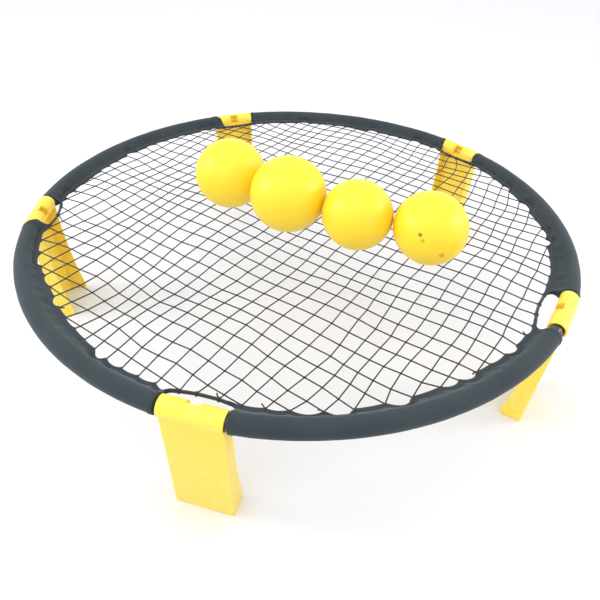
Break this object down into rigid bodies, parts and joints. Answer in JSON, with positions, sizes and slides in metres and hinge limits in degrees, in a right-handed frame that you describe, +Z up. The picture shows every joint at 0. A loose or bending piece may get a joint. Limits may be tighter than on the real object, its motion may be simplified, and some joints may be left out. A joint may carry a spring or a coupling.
{
  "type": "roundnet set",
  "caption": "Round string net on a tube ring with moulded legs and a padded fabric cover, with inflatable rubber balls lying on the net.",
  "frame": {"origin": "on the floor under the middle of the ring", "axes": "+Z up, +Y from the middle of the ring towards leg 1; the other legs follow anticlockwise seen from above"},
  "size_m": [0.8974, 0.8967, 0.3088],
  "materials": {
    "rim_tube": "glossy black extruded plastic tube",
    "leg": "satin moulded yellow plastic",
    "cover": "padded dark blue-grey woven fabric",
    "net_string": "black knotted nylon string",
    "border_cord": "black woven binding cord",
    "ball": "smooth matt yellow inflatable rubber",
    "valve": "brown rubber valve plug"
  },
  "bodies": {
    "ring": {"rim_tube_1": "rim_tube", "rim_tube_2": "rim_tube", "rim_tube_3": "rim_tube", "rim_tube_4": "rim_tube", "rim_tube_5": "rim_tube", "cover_panel_1": "cover", "cover_panel_2": "cover", "cover_panel_3": "cover", "cover_panel_4": "cover", "cover_panel_5": "cover", "net": "net_string", "border_cord": "border_cord"},
    "leg_1": {"leg_1": "leg"},
    "leg_2": {"leg_2": "leg"},
    "leg_3": {"leg_3": "leg"},
    "leg_4": {"leg_4": "leg"},
    "leg_5": {"leg_5": "leg"},
    "ball_1": {"ball_1": "ball", "ball_valve_1": "valve"},
    "ball_2": {"ball_2": "ball", "ball_valve_2": "valve"},
    "ball_3": {"ball_3": "ball", "ball_valve_3": "valve"},
    "ball_4": {"ball_4": "ball", "ball_valve_4": "valve"}
  },
  "joints": [
    {"name": "leg_1_swing", "type": "hinge", "parent": "ring", "child": "leg_1", "pos_m": [0, 0.43498, 0.1875], "axis": [1, 0, 0], "range_deg": [-30, 90]},
    {"name": "leg_2_swing", "type": "hinge", "parent": "ring", "child": "leg_2", "pos_m": [-0.41369, 0.13442, 0.1875], "axis": [0.309, 0.9511, 0], "range_deg": [-30, 90]},
    {"name": "leg_3_swing", "type": "hinge", "parent": "ring", "child": "leg_3", "pos_m": [-0.25568, -0.35191, 0.1875], "axis": [-0.809, 0.5878, 0], "range_deg": [-30, 90]},
    {"name": "leg_4_swing", "type": "hinge", "parent": "ring", "child": "leg_4", "pos_m": [0.25568, -0.35191, 0.1875], "axis": [-0.809, -0.5878, 0], "range_deg": [-30, 90]},
    {"name": "leg_5_swing", "type": "hinge", "parent": "ring", "child": "leg_5", "pos_m": [0.41369, 0.13442, 0.1875], "axis": [0.309, -0.9511, 0], "range_deg": [-30, 90]},
    {"name": "ball_1_lift", "type": "slide", "parent": "ring", "child": "ball_1", "axis": [0, 0, 1], "range_m": [0, 0.3]},
    {"name": "ball_2_lift", "type": "slide", "parent": "ring", "child": "ball_2", "axis": [0, 0, 1], "range_m": [0, 0.3]},
    {"name": "ball_3_lift", "type": "slide", "parent": "ring", "child": "ball_3", "axis": [0, 0, 1], "range_m": [0, 0.3]},
    {"name": "ball_4_lift", "type": "slide", "parent": "ring", "child": "ball_4", "axis": [0, 0, 1], "range_m": [0, 0.3]}
  ]
}
